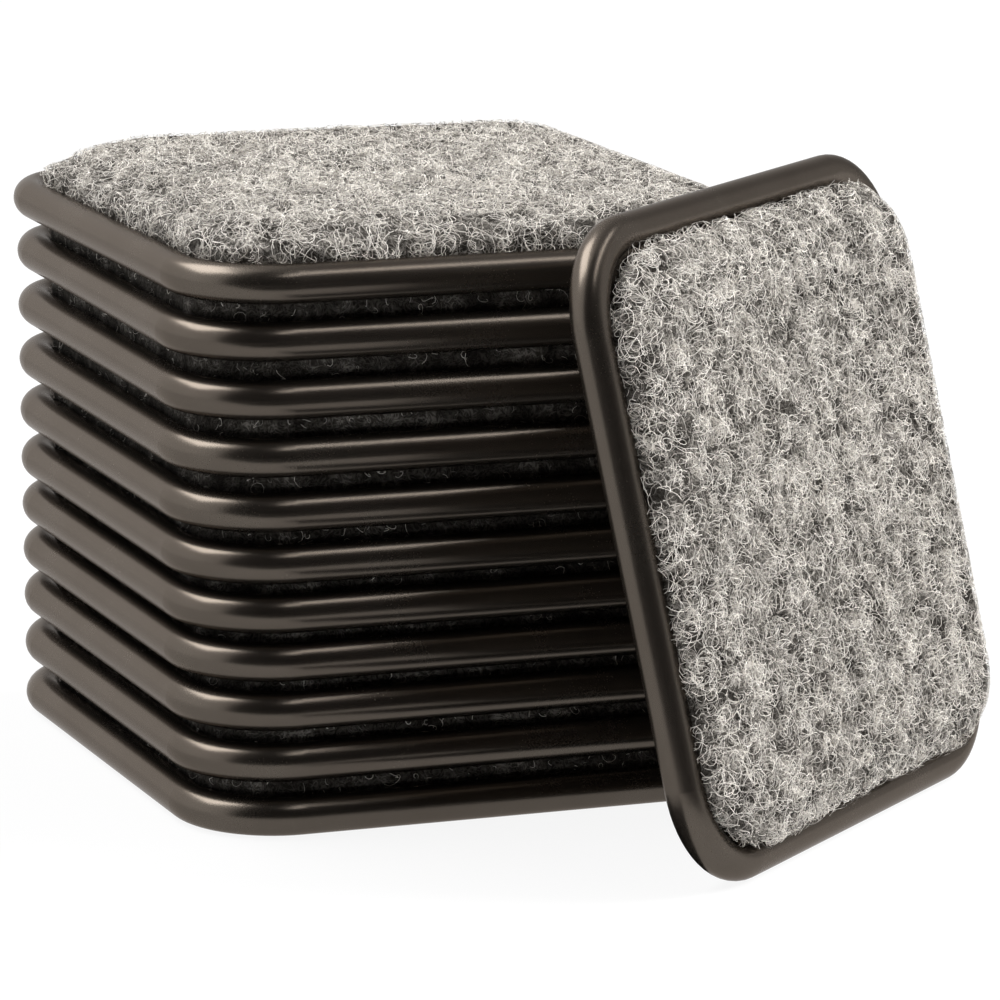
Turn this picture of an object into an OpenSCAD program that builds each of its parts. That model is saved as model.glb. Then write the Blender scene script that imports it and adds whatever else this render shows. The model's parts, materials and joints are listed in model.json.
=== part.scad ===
// Set of square caster cups with carpet soles: a loose stack, every cup with its sole up and its
// hollow down, and one more cup that stands on its edge and leans on a corner of the stack.
// Lengths are in millimetres and angles in degrees. +Z is up.
// The origin is on the floor, under the middle of the lowest cup.

/* [Cup] */
// Width of the square cup, outside its rim
cup_w = 63.5; // [50:0.5:80]
// Corner radius outside the rim, seen from above
corner_r = 10.4; // [9:0.2:14]
// Diameter of the round bead that forms the rim
rim_d = 3.8; // [3.2:0.1:5]
// Depth of the hollow, from the edge of the rim to the floor of the cup
hollow_depth = 1.7; // [1:0.1:2.4]
// Thickness of the floor of the cup
floor_t = 1.4; // [0.8:0.1:2]

/* [Carpet sole] */
// Height of the carpet above its glue where nothing presses on it
pile_h = 4.3; // [3.5:0.1:6]
// Radius of the carpet's upper edge
pile_round = 2.7; // [0.5:0.1:3]
// Gap between the inner side of the rim and the carpet's edge
carpet_gap = 0.2; // [0.1:0.05:1.5]
// Thickness of the glue film
glue_t = 0.12; // [0.05:0.01:0.3]
// Distance that the glue stays back from the carpet's edge
glue_inset = 1; // [0.5:0.1:3]

/* [Stack] */
// Number of cups in the stack
stack_count = 11; // [10:1:12]
// Sideways drift of the stack along X, for each cup
drift_x = -0.13; // [-0.2:0.01:0.2]
// Sideways drift of the stack along Y, for each cup
drift_y = 0.03; // [-0.2:0.01:0.2]
// Twist of each cup on the one below it, about +Z
twist = -0.09; // [-0.2:0.01:0.2]
// Turn of the top cup about +Z
top_turn = 0.3; // [-1:0.1:1]
// Mean depth that the cups above press a carpet flat
press_mean = 0.7; // [0.5:0.05:1]
// Most that the press of a carpet differs from the mean
press_swing = 0.45; // [0:0.05:0.5]
// Gap left between a pressed carpet and the cup on top of it
press_gap = 0.05; // [0.02:0.01:0.2]

/* [Leaning cup] */
// Way that the leaning cup's sole faces, from -Y round towards +X
lean_turn = 38.4; // [30:0.2:60]
// Distance from the stack's corner out to the leaning cup's lower edge
lean_out = 12.6; // [9:0.2:20]
// Shift of the leaning cup along its own lower edge
lean_side = -4.4; // [-8:0.1:8]
// Gap left where the leaning cup rests on the stack
rest_gap = 0.1; // [0.05:0.01:0.3]

/* [Hidden] */
$fn = 48;
rim_r = rim_d / 2;
bead_r = corner_r - rim_r;
sole_z = hollow_depth + floor_t;
carpet_z = sole_z + glue_t;
carpet_inset = rim_d + carpet_gap;
// Least flat that stays beside the carpet's rounded edge
edge_flat = 0.3;

// Cups are numbered from 0, the lowest, up to the top one
top = stack_count - 1;
// How far a carpet is pressed flat: one wave up the stack, most in its lower half and least near its top
function press(i) = press_mean + press_swing * sin(360 * (i - 0.5) / top);
// Turn of a stacked cup about +Z: a steady twist, and the top cup's own turn
function turn(i) = i == top ? top_turn : twist * i;

// Rise from one cup to the next: the pressed carpet fills the hollow above it, or the rims meet
function rise(i) = max(rim_d, floor_t + glue_t + pile_h - press(i)) + press_gap;
function pressed_h(i) = i < top ? rise(i) - floor_t - glue_t - press_gap : pile_h;
function cup_z(i) = i == 0 ? 0 : cup_z(i - 1) + rise(i - 1);
function cup_xy(i) = [drift_x, drift_y] * i;

// Directions of the leaning cup: out from the stack, and along its lower edge
out_dir = [sin(lean_turn), -cos(lean_turn)];
edge_dir = [cos(lean_turn), sin(lean_turn)];
// Reach of the middle of a stacked cup's bead, from the Z axis towards the leaning cup
function bead_reach(i) = let (a = lean_turn - turn(i))
    cup_xy(i) * out_dir + (cup_w / 2 - corner_r) * (sin(a) + cos(a)) + bead_r;
foot_d = bead_reach(0) + rim_r + lean_out;

// Lean at which a flat, that far in front of the leaning cup's middle plane, meets a stacked bead
function meet(i, flat) = let (a = bead_reach(i) - foot_d, b = cup_z(i))
    atan2(b, a) - acos((flat - rim_r - rest_gap) / norm([a, b]));
// Height of that meeting, measured up the leaning cup from the middle of its lower bead
function meet_v(i, lean) = let (a = bead_reach(i) - foot_d) cup_z(i) * cos(lean) - a * sin(lean);
// A bead that meets the hollow goes in to the floor, one near the upper rim stays outside,
// and one above it passes by
function lean_on(i) = let (in = meet(i, hollow_depth - rim_r), v = meet_v(i, in))
    v < cup_w - 2 * rim_d ? in : v < cup_w ? meet(i, -rim_r) : 90;
lean = min([for (i = [1 : top]) lean_on(i)]);

// The hinge line lies as far above the floor when the cup leans as when it lies on its carpet
carpet_out = carpet_z + pile_h - rim_r;
hinge_out = (carpet_out - rim_r) / (1 + sin(lean));
foot = concat(out_dir * foot_d + edge_dir * lean_side, rim_r);
up_dir = concat(-out_dir * sin(lean), cos(lean));
sole_dir = concat(out_dir * cos(lean), sin(lean));

// A cup is lifted clear of the leaning cup's upper rim, so the lift tips this far back from that cup
lift_back = 20;
lift_dir = up_dir * cos(lift_back) - sole_dir * sin(lift_back);
sole_at = foot + up_dir * (cup_w / 2 - rim_r) + sole_dir * carpet_out;

// Places and directions of the joints and of the mount on the leaning cup's carpet
echo(lean = lean, heights = [for (i = [0 : top]) cup_z(i)]);
echo(lift_dir = lift_dir, hinge_dir = edge_dir, hinge_at = foot + sole_dir * hinge_out);
echo(sole_at = sole_at, sole_dir = sole_dir);

function two_digits(i) = str(i < 9 ? "0" : "", i + 1);
cup_names = [for (i = [0 : top]) str("cup_", two_digits(i)), "leaning_cup"];
PIECES = ["shell", "glue", "carpet"];

// Rounded square of a side profile: child 0 is the profile, with X out from the corner's centre
// and Y up, and the middle is filled between the heights low and high
module rounded_square(width, radius, low, high) {
    run = width - 2 * radius;
    translate([-run / 2, -run / 2, low]) cube([run, run, high - low]);
    for (a = [0 : 90 : 270]) rotate(a) {
        translate([run / 2, run / 2, 0]) rotate_extrude(angle = 90) children(0);
        translate([run / 2, run / 2, 0]) rotate([90, 0, 0]) linear_extrude(run) children(0);
    }
}

module shell_profile() {
    translate([0, hollow_depth]) square([bead_r, floor_t]);
    translate([bead_r, rim_r]) circle(rim_r);
}

module carpet_profile(radius, height) {
    edge = min(pile_round, height - edge_flat, radius - edge_flat);
    square([radius, height - edge]);
    square([radius - edge, height]);
    translate([radius - edge, height - edge]) intersection() {
        circle(edge);
        square(edge);
    }
}

// Moulded cup, with its hollow down and the lowest line of its rim at Z = 0
module shell() {
    color([0.17, 0.15, 0.135])
        rounded_square(cup_w, corner_r, hollow_depth, sole_z) shell_profile();
}

// Film of glue between the cup's sole and the carpet
module glue() {
    inset = carpet_inset + glue_inset;
    radius = corner_r - inset;
    color([0.75, 0.72, 0.6]) translate([0, 0, sole_z])
        rounded_square(cup_w - 2 * inset, radius, 0, glue_t) square([radius, glue_t]);
}

// Carpet pad that stands above the glue
module carpet(height) {
    radius = corner_r - carpet_inset;
    color([0.55, 0.54, 0.52]) translate([0, 0, carpet_z])
        rounded_square(cup_w - 2 * carpet_inset, radius, 0, height) carpet_profile(radius, height);
}

// Place of a cup: those of the stack by number, and after them the one that leans
module place(i) {
    if (i <= top)
        translate(concat(cup_xy(i), cup_z(i))) rotate(turn(i)) children();
    else
        translate(foot) rotate([90 - lean, 0, lean_turn])
            translate([0, cup_w / 2 - rim_r, -rim_r]) children();
}

for (i = [0 : top + 1]) {
    place(i) shell();
    place(i) glue();
    place(i) carpet(pressed_h(i));
}
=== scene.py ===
"""Looks of a stack of square caster cups: satin bronze mouldings with curly grey carpet soles."""
import json
import math

import bpy
import numpy as np
from mathutils import Matrix, Vector, noise


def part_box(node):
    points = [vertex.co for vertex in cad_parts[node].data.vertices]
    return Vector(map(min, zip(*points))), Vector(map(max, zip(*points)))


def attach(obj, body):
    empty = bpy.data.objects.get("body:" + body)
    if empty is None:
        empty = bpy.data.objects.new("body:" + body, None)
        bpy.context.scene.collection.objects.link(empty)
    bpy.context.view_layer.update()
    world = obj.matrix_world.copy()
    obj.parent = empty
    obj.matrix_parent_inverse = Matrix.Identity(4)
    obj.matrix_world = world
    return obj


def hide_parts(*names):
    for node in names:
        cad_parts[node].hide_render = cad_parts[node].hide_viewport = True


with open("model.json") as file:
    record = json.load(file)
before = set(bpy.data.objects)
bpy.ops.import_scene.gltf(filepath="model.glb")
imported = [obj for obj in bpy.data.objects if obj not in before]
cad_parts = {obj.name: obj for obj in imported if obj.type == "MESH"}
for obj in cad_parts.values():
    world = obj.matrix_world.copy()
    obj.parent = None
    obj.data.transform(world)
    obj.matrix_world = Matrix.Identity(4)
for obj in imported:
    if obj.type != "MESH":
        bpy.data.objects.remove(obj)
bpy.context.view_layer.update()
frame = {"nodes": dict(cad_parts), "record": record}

MM = 0.001
STACK = ["cup_%02d" % number for number in range(1, 12)]
TOP_CUP = STACK[-1]
LEANING = "leaning_cup"
CUPS = STACK + [LEANING]
# Cups with nothing on their carpets
FREE = (TOP_CUP, LEANING)
# Twist of each stacked cup on the one below it, and the top cup's own turn, about +Z in degrees
TWIST = -0.09
TOP_TURN = 0.3

# Sizes of a carpet, and the least upright side that stays below its rounded edge
CARPET_HALF = 27.75 * MM
CARPET_CORNER = 6.4 * MM
CARPET_Z = 3.22 * MM
FREE_PILE = 4.3 * MM
PILE_EDGE = 2.7 * MM
EDGE_FLAT = 0.3 * MM

# The two carpets that show were glued on a little out of true
ASKEW = Matrix.Rotation(math.radians(-0.6), 4, "Z")
GLUED = {TOP_CUP: Matrix.Translation((-0.1 * MM, -0.1 * MM, 0)),
         LEANING: Matrix.Translation((-0.4 * MM, -0.2 * MM, 0)) @ ASKEW}
# How much the leaning cup's carpet was cut short, at the right of its lower edge and left of its upper one
SHORT_CUT = 1.4 * MM
UPPER_CUT = 0.5 * MM
# Corner of the top carpet where the pile lies down, how far that reaches and the share of height it takes
LAID_CORNER = (-1, 1)
LAID_REACH = 9 * MM
LAID_SHARE = 0.3
# Sides of the carpets that show where the pile stands fullest, and how far the edge bends until it does
FULL_SIDE = {TOP_CUP: (0.8, 1.0), LEANING: (1.45, 0.0)}
FULL_BEND = 0.25

# Distances between the rows of tufts and between the loops of a row, and sizes of what makes them uneven
ROW_GAP = 3.7 * MM
LOOP_GAP = 3.9 * MM
WANDER_SIZE = 7 * MM
LUMP_SIZE = 2.2 * MM
FUZZ_SIZE = 0.9 * MM
# Height above the carpet's foot over which the valleys between the tufts run out
VALLEY_FOOT = 1.5 * MM
# A pad's mesh size, the depth of its valleys, and how deep it lies below its fibres
FREE_PAD = {"cell": 0.45 * MM, "loft": 0.7 * MM, "cover": 0.45 * MM}
PRESSED_PAD = {"cell": 0.8 * MM, "loft": 0.35 * MM, "cover": 0.3 * MM}
# Painted shade on the sides of a pressed pile, which lie in the gap under the cup above: how much darker they
# are than its top, and what stays light in them
PRESSED_SIDE_SHADE = 0.85
PRESSED_LIGHT = 0.08
# Step of the seed from cup to cup
PAD_SEED = 5.3

# One curl of fibre
FIBRE_R = 0.034 * MM
CURL_TURNS = 0.72
CURL_START = 0.3 * MM
CURL_END = 1.15 * MM
CURL_RISE = 0.9 * MM
# Swing of a whole lock of curls and of each curl in it, about its own axes in radians
LOCK_SWING = (6.0, 6.0, 22.0)
LOW_SWING = (-0.5, -0.5, -0.6)
HIGH_SWING = (0.5, 0.5, 0.6)
# Fibres to a square metre on top, how many more at the sides, and the size and spread of the curls
FREE_FIBRES = {"Density": 1.06e6, "Side Density": 0.45e6, "Curl": 1.0, "Spread": 2.4 * MM}
PRESSED_FIBRES = {"Density": 0.16e6, "Side Density": 1.05e6, "Curl": 0.55, "Spread": 2.0 * MM}
# Lowest level of a fibre above the glue, and how much higher the lowest fibres are rooted
FIBRE_FLOOR = 0.25 * MM
BARE_FOOT = 0.3 * MM
# How far the fibres of a free pile may stand above it
FIBRE_RISE = 0.3 * MM
# Lots of fibres on the carpets that show, each a mesh of its own
LOTS = {LEANING: 4, TOP_CUP: 3}
# How far a stray fibre stands out of the carpet's outline, and how far a free pile hangs over at its sides
STRAY = 0.07 * MM
OVERHANG = 0.5 * MM


def place(cup):
    """Matrix from a cup's own frame, with the rim of its hollow on Z = 0, to where the cup stands."""
    if cup == LEANING:
        face = next(mount for mount in frame["record"]["mounts"] if mount["name"] == "carpet_sole")
        sole = Vector(face["axis"]).normalized()
        edge = Vector((0, 0, 1)).cross(sole).normalized()
        middle = Vector(face["pos_m"]) - sole * (CARPET_Z + FREE_PILE)
        return Matrix.Translation(middle) @ Matrix((edge, sole.cross(edge), sole)).transposed().to_4x4()
    low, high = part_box(cup + "_shell")
    middle = Vector(((low[0] + high[0]) / 2, (low[1] + high[1]) / 2, low[2]))
    turn = TOP_TURN if cup == TOP_CUP else TWIST * STACK.index(cup)
    return Matrix.Translation(middle) @ Matrix.Rotation(math.radians(turn), 4, "Z")


def carpet_height(cup):
    """Height of the carpet over its glue, as far as it is pressed."""
    if cup in FREE:
        return FREE_PILE
    low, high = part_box(cup + "_carpet")
    return high[2] - low[2]


def edge_radius(cup):
    """Radius of the carpet's upper edge."""
    return min(PILE_EDGE, carpet_height(cup) - EDGE_FLAT)


def clear_selection():
    if bpy.context.mode != "OBJECT":
        bpy.ops.object.mode_set(mode="OBJECT")
    bpy.ops.object.select_all(action="DESELECT")


def pick(piece):
    clear_selection()
    piece.select_set(True)
    bpy.context.view_layer.objects.active = piece


def vertex_spots(mesh):
    """Places of a mesh's vertices, one row each."""
    spots = np.empty(len(mesh.vertices) * 3)
    mesh.vertices.foreach_get("co", spots)
    return spots.reshape(-1, 3)


def move_vertices(mesh, spots):
    mesh.vertices.foreach_set("co", spots.ravel())
    mesh.update()


# Carpet pads

def tuft_height(u, v, seed):
    """How high the tufts stand at a place on the flat carpet, from 0 in a valley to 1."""
    at = Vector((u, v, seed)) / WANDER_SIZE
    at.z = seed
    wander_u = noise.noise(at)
    wander_v = noise.noise(at + Vector((31.4, 7.7, 0)))
    row = 0.5 + 0.5 * math.cos(2 * math.pi * (v / ROW_GAP + 0.55 * wander_v))
    stagger = 0.5 * round(v / ROW_GAP)
    loop = 0.5 + 0.5 * math.cos(2 * math.pi * (u / LOOP_GAP + 0.6 * wander_u + stagger))
    lump = noise.noise(Vector((u, v, 0)) / LUMP_SIZE + Vector((0, 0, seed)))
    fuzz = noise.noise(Vector((u, v, 0)) / FUZZ_SIZE + Vector((0, 5, seed)))
    return min(max(0.3 + 0.4 * (row * loop) ** 0.6 + 0.45 * lump + 0.25 * fuzz, 0), 1)


def outside(spots, straight, corner):
    """How far spots lie outside a rounded square, and the way straight out of it."""
    past = np.abs(spots) - straight
    out = np.maximum(past, 0)
    length = np.hypot(out[:, 0], out[:, 1])
    distance = length + np.minimum(past.max(axis=1), 0) - corner
    way = np.where(length[:, None] > 1e-9, out / np.maximum(length, 1e-9)[:, None], 0) * np.sign(spots)
    return distance, way


def shoulder(turn, way, full):
    """How much more the pile stays back at its round edge and corners than on top, and splays at its side."""
    corner = 2 * np.abs(way[:, 0] * way[:, 1])
    back = (0.5 + 0.3 * corner) * np.sin(2 * turn) ** 2 * (1 - full)
    splay = (1.15 - 0.5 * corner) * np.sin(turn) ** 6
    return (back - splay) * MM


def fullness(cup, turn, way):
    """1 where the edge of the pile stands fullest, 0 on top and at the other sides."""
    return np.clip(way @ np.array(FULL_SIDE.get(cup, (0, 0))), 0, 1) * np.clip(turn / FULL_BEND, 0, 1)


def corner_height(spot):
    """Share of its height that the pile keeps near the corner where it lies down."""
    tip = np.hypot(*(CARPET_HALF - spot * LAID_CORNER).T) - (math.sqrt(2) - 1) * CARPET_CORNER
    near = np.clip(1 - tip / LAID_REACH, 0, 1)
    return 1 - LAID_SHARE * near * near * (3 - 2 * near)


def cut_askew(mesh):
    """Draws in the lower right corner and the upper edge of the leaning cup's carpet."""
    spot = vertex_spots(mesh)
    across, up = (spot[:, :2].T / CARPET_HALF + 1) / 2
    across, up = np.clip(across, 0, 1), np.clip(up, 0, 1)
    last_fifth = np.clip(across / 0.2 - 4, 0, 1)
    short = SHORT_CUT * (1 - (1 - across) ** 2) * (1 - 0.5 * last_fifth ** 2)
    spot[:, 1] += short * (1 - up) - UPPER_CUT * (1 - across ** 2) * up
    move_vertices(mesh, spot)


def carpet_pad(cup, seed, cell, loft, cover):
    """A sheet of carpet wrapped over the sole: a tufted top, a rounded edge, and sides that fold in below."""
    height = carpet_height(cup)
    edge = edge_radius(cup)
    flat = CARPET_HALF - edge
    corner = CARPET_CORNER - edge
    bend = edge * math.pi / 2
    reach = bend + height - edge
    fold = 2 * cell
    span = 2 * (flat + reach + fold)
    count = round(span / cell)
    clear_selection()
    bpy.ops.mesh.primitive_grid_add(x_subdivisions=count, y_subdivisions=count, size=span)
    pad = bpy.context.object
    pad.name = cup + "_carpet_pile"
    mesh = pad.data
    sheet = vertex_spots(mesh)[:, :2]
    # The sheet runs flat over the top, bends over the edge, goes down the side and folds in
    run, way = outside(sheet, flat - corner, corner)
    run = np.maximum(run, 0)
    turn = np.minimum(run / edge, math.pi / 2)
    drop = edge * (1 - np.cos(turn)) + np.maximum(run - bend, 0)
    tuft_and_shade = np.array([tuft_height(u, v, seed) for u, v in sheet])
    valley = loft * (1 - tuft_and_shade) * (1 - 0.7 * np.sin(turn)) * np.clip((reach - run) / VALLEY_FOOT, 0, 1)
    full = fullness(cup, turn, way)
    sink = (cover + valley) * (1 - 0.7 * full) + shoulder(turn, way, full)
    # Painted shade: the sides of a pressed pile are darkened through its tuft value, for the shade in the gap
    # between cups
    if cup not in FREE:
        tuft_and_shade = tuft_and_shade * (1 - PRESSED_SIDE_SHADE * np.sin(turn)) + PRESSED_LIGHT
    side = (edge - sink) * np.sin(turn) - np.maximum(run - reach, 0)
    spot = sheet + way * (side - run)[:, None]
    level = np.maximum(CARPET_Z + height - drop - sink * np.cos(turn), CARPET_Z)
    if cup == TOP_CUP:
        level = CARPET_Z + (level - CARPET_Z) * corner_height(spot)
    mesh.vertices.foreach_set("co", np.column_stack([spot, level]).ravel())
    # The tuft value sets the fibres' density, and the materials use it for painted shade between the tufts
    # and on pressed sides
    mesh.attributes.new("tuft_and_shade", "FLOAT", "POINT").data.foreach_set("value", tuft_and_shade)
    # The flattened top of a pressed pile shows the light sides of its fibres
    flattened = np.cos(turn) ** 4 * (cup not in FREE)
    mesh.attributes.new("flattened", "FLOAT", "POINT").data.foreach_set("value", flattened)
    flat_at = np.column_stack([sheet, np.full(len(sheet), seed * MM)])
    mesh.attributes.new("sheet", "FLOAT_VECTOR", "POINT").data.foreach_set("vector", flat_at.ravel())
    mesh.update()
    # The corners of the sheet lie past the carpet's outline
    pick(pad)
    mesh.vertices.foreach_set("select", run > reach + fold + 0.1 * cell)
    mesh.edges.foreach_set("select", np.zeros(len(mesh.edges), bool))
    mesh.polygons.foreach_set("select", np.zeros(len(mesh.polygons), bool))
    bpy.ops.object.mode_set(mode="EDIT")
    bpy.ops.mesh.select_mode(type="VERT")
    bpy.ops.mesh.delete(type="VERT")
    bpy.ops.mesh.select_non_manifold(extend=False)
    bpy.ops.mesh.edge_face_add()
    bpy.ops.mesh.select_all(action="SELECT")
    bpy.ops.mesh.normals_make_consistent(inside=False)
    bpy.ops.object.mode_set(mode="OBJECT")
    bpy.ops.object.shade_smooth()
    return pad


# Curly fibres of the pile

class Nodes:
    """Small helper that adds nodes to a tree and links them."""

    def __init__(self, tree):
        self.tree = tree

    def add(self, kind, _values=None, **settings):
        node = self.tree.nodes.new(kind)
        for name, value in settings.items():
            setattr(node, name, value)
        for socket, value in (_values or {}).items():
            if isinstance(value, bpy.types.NodeSocket):
                self.tree.links.new(value, node.inputs[socket])
            else:
                node.inputs[socket].default_value = value
        return node

    def math(self, operation, a, b=0.0, c=0.0):
        return self.add("ShaderNodeMath", {0: a, 1: b, 2: c}, operation=operation).outputs[0]

    def vector(self, operation, a, b=(0, 0, 0)):
        return self.add("ShaderNodeVectorMath", {0: a, 1: b}, operation=operation).outputs[0]

    def scaled(self, a, scale):
        return self.add("ShaderNodeVectorMath", {0: a, "Scale": scale}, operation="SCALE").outputs[0]

    def noise(self, at, scale, detail, **more):
        """Noise texture at a place. Its outputs are a value and a colour."""
        values = {"Vector": at, "Scale": scale, "Detail": detail, **more}
        return self.add("ShaderNodeTexNoise", values).outputs

    def centred(self, colour):
        """A noise's colour as a shift, even to all sides."""
        return self.vector("SUBTRACT", colour, (0.5, 0.5, 0.5))

    def attribute(self, name, output="Fac"):
        return self.add("ShaderNodeAttribute", attribute_name=name).outputs[output]

    def own_place(self):
        return self.add("ShaderNodeTexCoord").outputs["Object"]

    def link(self, output, socket):
        self.tree.links.new(output, socket)


def fibre_tree():
    """Geometry nodes that set curls of thin fibre on a carpet pad."""
    tree = bpy.data.node_groups.new("curly_fibres", "GeometryNodeTree")
    face = tree.interface
    face.new_socket("Geometry", in_out="INPUT", socket_type="NodeSocketGeometry")
    for name in ("Density", "Side Density", "Floor", "Ceiling", "Curl", "Spread"):
        face.new_socket(name, in_out="INPUT", socket_type="NodeSocketFloat")
    face.new_socket("Seed", in_out="INPUT", socket_type="NodeSocketInt")
    face.new_socket("Geometry", in_out="OUTPUT", socket_type="NodeSocketGeometry")
    net = Nodes(tree)
    given = net.add("NodeGroupInput").outputs
    # Fibres stand thickest on the tufts and at the sides, and none at the foot or on the fold
    normal = net.add("ShaderNodeSeparateXYZ", {0: net.add("GeometryNodeInputNormal").outputs[0]}).outputs[2]
    height = net.add("ShaderNodeSeparateXYZ", {0: net.add("GeometryNodeInputPosition").outputs[0]}).outputs[2]
    side = net.math("LESS_THAN", normal, 0.85)
    upward = net.math("GREATER_THAN", normal, -0.3)
    raised = net.math("GREATER_THAN", height, net.math("ADD", given["Floor"], BARE_FOOT))
    tuft_and_shade = net.add("GeometryNodeInputNamedAttribute", {"Name": "tuft_and_shade"}, data_type="FLOAT").outputs[0]
    wanted = net.math("ADD", given["Density"], net.math("MULTIPLY", side, given["Side Density"]))
    wanted = net.math("MULTIPLY", wanted, net.math("MULTIPLY_ADD", tuft_and_shade, 1.3, 0.3))
    density = net.math("MULTIPLY", wanted, net.math("MULTIPLY", upward, raised))
    points = net.add("GeometryNodeDistributePointsOnFaces",
                     {"Mesh": given["Geometry"], "Density": density, "Seed": given["Seed"]})
    curl = net.add("GeometryNodeCurveSpiral",
                   {"Resolution": 10, "Rotations": CURL_TURNS, "Start Radius": CURL_START,
                    "End Radius": CURL_END, "Height": CURL_RISE})
    # Curls that stand together swing together, as a lock
    lock = net.noise(net.add("GeometryNodeInputPosition").outputs[0], 420.0, 1.0)["Color"]
    lock = net.vector("MULTIPLY", net.centred(lock), LOCK_SWING)
    swing = net.add("FunctionNodeRandomValue", {0: LOW_SWING, 1: HIGH_SWING, "Seed": 3},
                    data_type="FLOAT_VECTOR").outputs[0]
    swing = net.vector("ADD", lock, swing)
    swing = net.add("FunctionNodeEulerToRotation", {0: swing}).outputs[0]
    turned = net.add("FunctionNodeRotateRotation", {0: points.outputs["Rotation"], 1: swing},
                     rotation_space="LOCAL")
    size = net.add("FunctionNodeRandomValue", {2: 0.4, 3: 1.5, "Seed": 5}, data_type="FLOAT").outputs[1]
    curls = net.add("GeometryNodeInstanceOnPoints",
                    {"Points": points.outputs["Points"], "Instance": curl.outputs[0],
                     "Rotation": turned.outputs[0], "Scale": net.math("MULTIPLY", size, given["Curl"])})
    tone = net.add("FunctionNodeRandomValue", {2: 0.0, 3: 1.0, "Seed": 11}, data_type="FLOAT").outputs[1]
    toned = net.add("GeometryNodeStoreNamedAttribute",
                    {"Geometry": curls.outputs[0], "Name": "tone", "Value": tone},
                    data_type="FLOAT", domain="INSTANCE")
    loose = net.add("GeometryNodeRealizeInstances", {0: toned.outputs[0]})
    # Each fibre is bent its own way, by its tone
    own = net.add("GeometryNodeInputNamedAttribute", {"Name": "tone"}, data_type="FLOAT").outputs[0]
    spot = net.add("GeometryNodeInputPosition").outputs[0]
    stray = net.add("ShaderNodeTexNoise",
                    {"Vector": spot, "W": net.math("MULTIPLY", own, 900.0), "Scale": 260.0, "Detail": 0.0},
                    noise_dimensions="4D")
    shift = net.scaled(net.centred(stray.outputs["Color"]), given["Spread"])
    bent = net.add("GeometryNodeSetPosition", {"Geometry": loose.outputs[0], "Offset": shift})
    spot = net.add("ShaderNodeSeparateXYZ", {0: net.add("GeometryNodeInputPosition").outputs[0]}).outputs
    level = net.math("MAXIMUM", net.math("MINIMUM", spot[2], given["Ceiling"]), given["Floor"])
    at = net.add("ShaderNodeCombineXYZ", {0: spot[0], 1: spot[1], 2: level}).outputs[0]
    pressed = net.add("GeometryNodeSetPosition", {"Geometry": bent.outputs[0], "Position": at})
    ring = net.add("GeometryNodeCurvePrimitiveCircle", {"Resolution": 3, "Radius": FIBRE_R})
    tubes = net.add("GeometryNodeCurveToMesh",
                    {"Curve": pressed.outputs[0], "Profile Curve": ring.outputs[0], "Fill Caps": True})
    net.add("NodeGroupOutput", {"Geometry": tubes.outputs[0]})
    return tree


def comb(mesh, cup):
    """Draws in what stands too far out of the carpet's round outline: most fibres, and a few strays less."""
    edge = edge_radius(cup)
    spot = vertex_spots(mesh)
    laid = corner_height(spot[:, :2]) if cup == TOP_CUP else 1
    spot[:, 2] = CARPET_Z + (spot[:, 2] - CARPET_Z) / laid
    side, way = outside(spot[:, :2], CARPET_HALF - CARPET_CORNER, CARPET_CORNER - edge)
    rise = spot[:, 2] - (CARPET_Z + carpet_height(cup) - edge)
    past = np.hypot(np.maximum(side, 0), np.maximum(rise, 0)) - edge
    turn = np.arctan2(np.maximum(side, 0), np.maximum(rise, 1e-9))
    tone = np.empty(len(mesh.vertices))
    mesh.attributes["tone"].data.foreach_get("value", tone)
    stray = STRAY * (4 * ((tone * 37) % 1) ** 4 - 0.5)
    straight = 1 - 2 * np.abs(way[:, 0] * way[:, 1])
    hang = (OVERHANG if cup in FREE else 0) * np.sin(turn) ** 6 * straight
    full = fullness(cup, turn, way)
    pull = np.maximum(past + shoulder(turn, way, full) - stray * (1 - full) - hang, 0) * (0.85 + 0.1 * full)
    share = pull / np.maximum(past + edge, 1e-9)
    spot[:, :2] -= way * (np.maximum(side, 0) * share)[:, None]
    spot[:, 2] -= np.maximum(rise, 0) * share
    spot[:, 2] = CARPET_Z + (spot[:, 2] - CARPET_Z) * laid
    move_vertices(mesh, spot)


def pile_fibres(pad, cup, mark, values):
    """Fibres that stand on a pad, as a mesh of their own."""
    pick(pad)
    bpy.ops.object.duplicate()
    fibres = bpy.context.object
    fibres.name = "%s_pile_fibres_%s" % (cup, mark)
    growth = fibres.modifiers.new("growth", "NODES")
    growth.node_group = FIBRES
    for item in FIBRES.interface.items_tree:
        if item.in_out == "INPUT" and item.name in values:
            growth[item.identifier] = values[item.name]
    bpy.ops.object.modifier_apply(modifier="growth")
    comb(fibres.data, cup)
    bpy.ops.object.shade_smooth()
    return fibres


# Materials

def group(name, inputs, outputs):
    """A shader node group, with its nodes, what it is given and what it gives."""
    tree = bpy.data.node_groups.new(name, "ShaderNodeTree")
    for label, kind, value in inputs:
        socket = tree.interface.new_socket(label, in_out="INPUT", socket_type=kind)
        if value is not None:
            socket.default_value = value
    for label, kind in outputs:
        tree.interface.new_socket(label, in_out="OUTPUT", socket_type=kind)
    net = Nodes(tree)
    return net, net.add("NodeGroupInput").outputs, net.add("NodeGroupOutput").inputs


def use(net, tree, values):
    return net.add("ShaderNodeGroup", values, node_tree=tree).outputs[0]


def ramp(net, value, stops):
    node = net.add("ShaderNodeValToRGB", {0: value})
    elements = node.color_ramp.elements
    while len(elements) < len(stops):
        elements.new(1)
    for element, (at, colour) in zip(elements, stops):
        element.position = at
        element.color = (*colour, 1)
    return node.outputs[0]


def roughen(net, shader, height, strength, depth):
    """Bump on a shader's normal."""
    bump = net.add("ShaderNodeBump", {"Height": height, "Strength": strength, "Distance": depth})
    net.link(bump.outputs[0], shader["Normal"])


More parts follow.
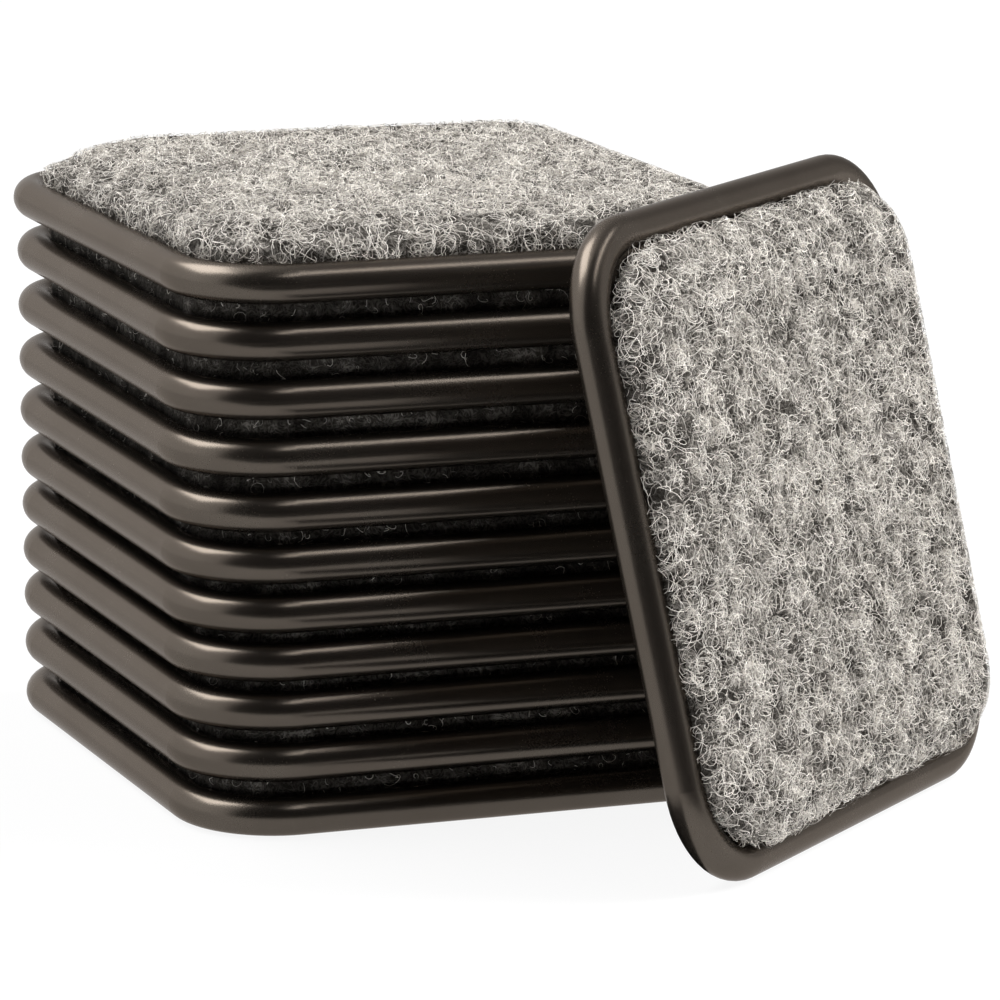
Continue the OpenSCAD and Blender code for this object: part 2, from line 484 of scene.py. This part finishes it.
def fine_fuzz():
    """Swirls of fibres too fine to model, over the flat carpet: a mask from 0 in the dark gaps to 1."""
    net, given, gives = group("fine_fuzz", [("Vector", "NodeSocketVector", None)],
                              [("Mask", "NodeSocketFloat")])
    strands = []
    for swirl, stretch in ((520.0, (1.0, 0.2, 1.0)), (430.0, (0.2, 1.0, 1.0))):
        field = net.noise(given["Vector"], swirl, 1.0)["Color"]
        bent = net.vector("ADD", given["Vector"], net.scaled(net.centred(field), 4.5 * MM))
        strand = net.noise(net.vector("MULTIPLY", bent, stretch), 4600.0, 1.5)[0]
        strands.append(net.add("ShaderNodeMapRange", {"Value": strand, "From Min": 0.4, "From Max": 0.66},
                               interpolation_type="SMOOTHSTEP").outputs[0])
    net.link(net.math("MAXIMUM", strands[0], strands[1]), gives["Mask"])
    return net.tree


def heather():
    """Colour of a heather grey yarn by the tone of the fibre, with slow patches over the carpet."""
    net, given, gives = group("heather_yarn", [("Tone", "NodeSocketFloat", 0.5)],
                              [("Color", "NodeSocketColor")])
    patch = net.noise(net.own_place(), 330.0, 3.0, Roughness=0.6)[0]
    tone = net.math("ADD", given["Tone"], net.math("MULTIPLY", net.math("SUBTRACT", patch, 0.5), 0.75))
    colour = ramp(net, tone, [(0.0, (0.024, 0.021, 0.018)), (0.2, (0.10, 0.092, 0.082)),
                              (0.42, (0.42, 0.394, 0.360)), (0.7, (0.80, 0.757, 0.70)),
                              (1.0, (0.93, 0.885, 0.825))])
    net.link(colour, gives["Color"])
    return net.tree


def surface(name, **values):
    """A new material, with its nodes and the inputs of its shader."""
    material = bpy.data.materials.new(name)
    material.use_nodes = True
    shader = material.node_tree.nodes["Principled BSDF"]
    for socket, value in values.items():
        shader.inputs[socket.replace("_", " ")].default_value = value
    return material, Nodes(material.node_tree), shader.inputs


def bronze_moulding():
    """Satin bronze finish, a little cloudy and with a fine grain."""
    material, net, shader = surface("bronze_moulding", Metallic=0.9, IOR=1.5,
                                    Specular_Tint=(0.7, 0.66, 0.63, 1))
    at = net.own_place()
    cloud = net.noise(at, 90.0, 4.0, Roughness=0.6)[0]
    grain = net.noise(at, 5200.0, 2.0)[0]
    colour = ramp(net, cloud, [(0.3, (0.086, 0.072, 0.059)), (0.7, (0.100, 0.085, 0.071))])
    net.link(colour, shader["Base Color"])
    rough = net.math("ADD", 0.22, net.math("MULTIPLY", cloud, 0.06))
    net.link(net.math("ADD", rough, net.math("MULTIPLY", grain, 0.03)), shader["Roughness"])
    roughen(net, shader, grain, 0.06, 0.05 * MM)
    return material


def carpet_backing():
    """The dense under-layer of the pile, with painted shade that darkens it between the tufts, and light
    where it is flattened.
    """
    material, net, shader = surface("carpet_under_pile", Roughness=0.95, Specular_IOR_Level=0.1)
    fuzz = use(net, FUZZ, {"Vector": net.attribute("sheet", "Vector")})
    # Painted shade: the pad is darker in the valleys between the tufts and on the sides of pressed piles
    painted_shade = net.math("MULTIPLY_ADD", net.attribute("tuft_and_shade"), 0.9, 0.32)
    tone = net.math("MULTIPLY", net.math("MULTIPLY_ADD", fuzz, 0.42, 0.04), painted_shade)
    tone = net.math("MULTIPLY_ADD", net.attribute("flattened"), 0.26, tone)
    net.link(use(net, HEATHER, {"Tone": tone}), shader["Base Color"])
    roughen(net, shader, fuzz, 0.8, 0.12 * MM)
    return material


def carpet_fibre():
    """Fibres of light and dark yarn, with painted shade that makes them lighter on the tufts and darker
    between them.
    """
    material, net, shader = surface("carpet_fibre", Roughness=0.75, Specular_IOR_Level=0.25)
    tone = net.math("SUBTRACT", net.attribute("tone"), 0.03)
    # Painted shade: fibres are darker in the valleys between the tufts and on the sides of pressed piles
    tone = net.math("ADD", tone, net.math("MULTIPLY", net.attribute("tuft_and_shade"), 0.4))
    net.link(use(net, HEATHER, {"Tone": tone}), shader["Base Color"])
    return material


def dried_glue():
    """Dark clear glue, spread in swirls."""
    material, net, shader = surface("dried_glue", Roughness=0.25)
    swirl = net.noise(net.own_place(), 260.0, 3.0, Distortion=1.0)[0]
    colour = ramp(net, swirl, [(0.3, (0.10, 0.09, 0.075)), (0.7, (0.16, 0.15, 0.125))])
    net.link(colour, shader["Base Color"])
    roughen(net, shader, swirl, 0.3, 0.05 * MM)
    return material


FUZZ = fine_fuzz()
HEATHER = heather()
FIBRES = fibre_tree()
BRONZE, BACKING, FIBRE, GLUE = bronze_moulding(), carpet_backing(), carpet_fibre(), dried_glue()


def dress(piece, material):
    piece.data.materials.clear()
    piece.data.materials.append(material)


# The cups

for number, cup in enumerate(CUPS):
    for slot in frame["nodes"][cup + "_shell"].material_slots:
        slot.material = BRONZE
    for slot in frame["nodes"][cup + "_glue"].material_slots:
        slot.material = GLUE
    free = cup in FREE
    pad = carpet_pad(cup, PAD_SEED * number, **(FREE_PAD if free else PRESSED_PAD))
    pieces = [pad]
    values = {**(FREE_FIBRES if free else PRESSED_FIBRES), "Floor": CARPET_Z + FIBRE_FLOOR,
              "Ceiling": CARPET_Z + carpet_height(cup) + (FIBRE_RISE if free else -FIBRE_R)}
    for lot in range(LOTS.get(cup, 1)):
        fibres = pile_fibres(pad, cup, "abcd"[lot], {**values, "Seed": 10 * number + lot})
        dress(fibres, FIBRE)
        pieces.append(fibres)
    dress(pad, BACKING)
    for piece in pieces:
        if cup == LEANING:
            cut_askew(piece.data)
        piece.data.transform(place(cup) @ GLUED.get(cup, Matrix()))
        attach(piece, cup)
    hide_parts(cup + "_carpet")


# Floor, light and camera

WHITE = (1, 1, 1, 1)
PAPER = (0.86, 0.86, 0.86, 1)
# Share of white in the floor where the camera or a reflection sees it
FLOOR_WHITE = 0.9
# Grey of the walls round the horizon, as reflections see them
WALLS = ((0.0, 0.85), (0.06, 0.8), (0.088, 0.01), (0.235, 0.01), (0.31, 0.02), (0.36, 0.1), (0.42, 0.3),
         (0.5, 0.22), (0.62, 0.22), (0.78, 0.8), (0.95, 0.95))
WALL_LIGHT = 1.5
# Share of the walls' light that falls on everything
WALL_FILL = 0.45
# Corners of the black cards on the floor, in metres, and how high the cards lie
CARDS = {"black_card": ((-1.4, -0.8), (2.0, -2.5), (-0.07, -0.135), (2.0, -0.35)),
         # The second card is a painted shadow: it stands for the shaded floor between the stack and the
         # leaning cup, seen in reflections only
         "floor_shadow_card": ((-0.02, -0.082), (0.0345, -0.0373), (-0.008, -0.042), (0.037, -0.0335))}
CARD_Z = 0.5 * MM
# Point that the lights face
LIT = (0, 0, 0.03)
# Camera at the photographed view, fitted to the outlines of the cups: angles in degrees, metres, and the lens
YAW = 22.537
PITCH = 12.330
ROLL = -1.070
CAMERA_AT = (-0.21812, -0.55239, 0.15511)
LENS = 217.24


def emptied(owner):
    """Nodes of a material or world, with none in it yet."""
    owner.use_nodes = True
    net = Nodes(owner.node_tree)
    owner.node_tree.nodes.clear()
    return net


def white_stage():
    """Pale floor that reads as white, and still takes the object's shadow."""
    material = bpy.data.materials.new("white_stage")
    net = emptied(material)
    paper = net.add("ShaderNodeBsdfDiffuse", {"Color": PAPER})
    glow = net.add("ShaderNodeEmission", {"Color": WHITE, "Strength": 1.0})
    path = net.add("ShaderNodeLightPath").outputs
    shine = net.math("MAXIMUM", path["Is Glossy Ray"], path["Is Transmission Ray"])
    seen = net.math("MAXIMUM", path["Is Camera Ray"], shine)
    share = net.math("MULTIPLY", seen, FLOOR_WHITE)
    mix = net.add("ShaderNodeMixShader", {0: share, 1: paper.outputs[0], 2: glow.outputs[0]})
    net.add("ShaderNodeOutputMaterial", {"Surface": mix.outputs[0]})
    return material


def studio():
    """World that is white to the camera. Reflections see walls in it, from white to dark."""
    world = bpy.data.worlds.new("studio")
    net = emptied(world)
    path = net.add("ShaderNodeLightPath").outputs
    way = net.add("ShaderNodeSeparateXYZ", {0: net.add("ShaderNodeTexCoord").outputs["Generated"]}).outputs
    # Round the horizon from -X by way of -Y: white at the left, dark in front, white at the right and behind
    round_share = net.math("MULTIPLY_ADD", net.math("ARCTAN2", way[1], way[0]), 0.5 / math.pi, 0.5)
    walls = ramp(net, round_share, [(at, (grey, grey, grey)) for at, grey in WALLS])
    shine = net.math("MAXIMUM", path["Is Glossy Ray"], path["Is Transmission Ray"])
    share = net.math("MAXIMUM", shine, WALL_FILL)
    level = net.math("MULTIPLY", net.math("MULTIPLY", walls, WALL_LIGHT), share)
    level = net.math("MAXIMUM", path["Is Camera Ray"], level)
    sky = net.add("ShaderNodeBackground", {"Color": WHITE, "Strength": level})
    net.add("ShaderNodeOutputWorld", {"Surface": sky.outputs[0]})
    return world


def stage_plane(name, size, material):
    """Flat plane on the floor."""
    clear_selection()
    bpy.ops.mesh.primitive_plane_add(size=size)
    plane = bpy.context.object
    plane.name = name
    dress(plane, material)
    return plane


def softbox(name, at, size, power):
    """Rectangular soft light that faces the object."""
    data = bpy.data.lights.new(name, "AREA")
    data.shape = "RECTANGLE"
    data.size, data.size_y = size
    data.energy = power
    lamp = bpy.data.objects.new(name, data)
    lamp.location = at
    lamp.rotation_mode = "QUATERNION"
    lamp.rotation_quaternion = (Vector(LIT) - Vector(at)).to_track_quat("-Z", "Y")
    bpy.context.scene.collection.objects.link(lamp)
    return lamp


def photo_camera():
    """Camera where the photographer stood."""
    yaw, pitch, roll = math.radians(YAW), math.radians(PITCH), math.radians(ROLL)
    ahead = Vector((math.sin(yaw) * math.cos(pitch), math.cos(yaw) * math.cos(pitch), -math.sin(pitch)))
    level = Vector((math.cos(yaw), -math.sin(yaw), 0))
    under = ahead.cross(level)
    right = level * math.cos(roll) + under * math.sin(roll)
    down = under * math.cos(roll) - level * math.sin(roll)
    camera = bpy.data.objects.new("camera", bpy.data.cameras.new("camera"))
    camera.data.sensor_width = 36
    camera.data.lens = LENS
    camera.data.clip_start, camera.data.clip_end = 0.01, 20
    turned = Matrix((right, -down, -ahead)).transposed().to_4x4()
    camera.matrix_world = Matrix.Translation(CAMERA_AT) @ turned
    bpy.context.scene.collection.objects.link(camera)
    return camera


floor = stage_plane("floor", 6, white_stage())

# Black cards lie in front of the set and between the stack and the leaning cup, for the metal alone. The one
# between the stack and the leaning cup is a painted shadow: it stands for the shaded floor there, as
# reflections see it.
card_black, _, card_shader = surface("black_card", Roughness=0.9, Specular_IOR_Level=0.1)
card_shader["Base Color"].default_value = (0.01, 0.01, 0.01, 1)
for name, spots in CARDS.items():
    card = stage_plane(name, 1, card_black)
    for vertex, spot in zip(card.data.vertices, spots):
        vertex.co = (*spot, CARD_Z)
    card.visible_camera = card.visible_diffuse = card.visible_shadow = False

softbox("left_box", (-0.42, 0.3, 0.8), (0.75, 0.5), 9)
softbox("front_box", (0.36, -0.25, 0.85), (0.9, 0.11), 1.9)
softbox("key_box", (0.8, -0.15, 0.75), (0.5, 0.5), 18.5).visible_glossy = False
softbox("right_panel", (1.0, -0.2, 0.35), (1.2, 0.9), 1.2)

bpy.context.scene.world = studio()
bpy.context.scene.camera = photo_camera()
bpy.context.scene.view_settings.view_transform = "Standard"
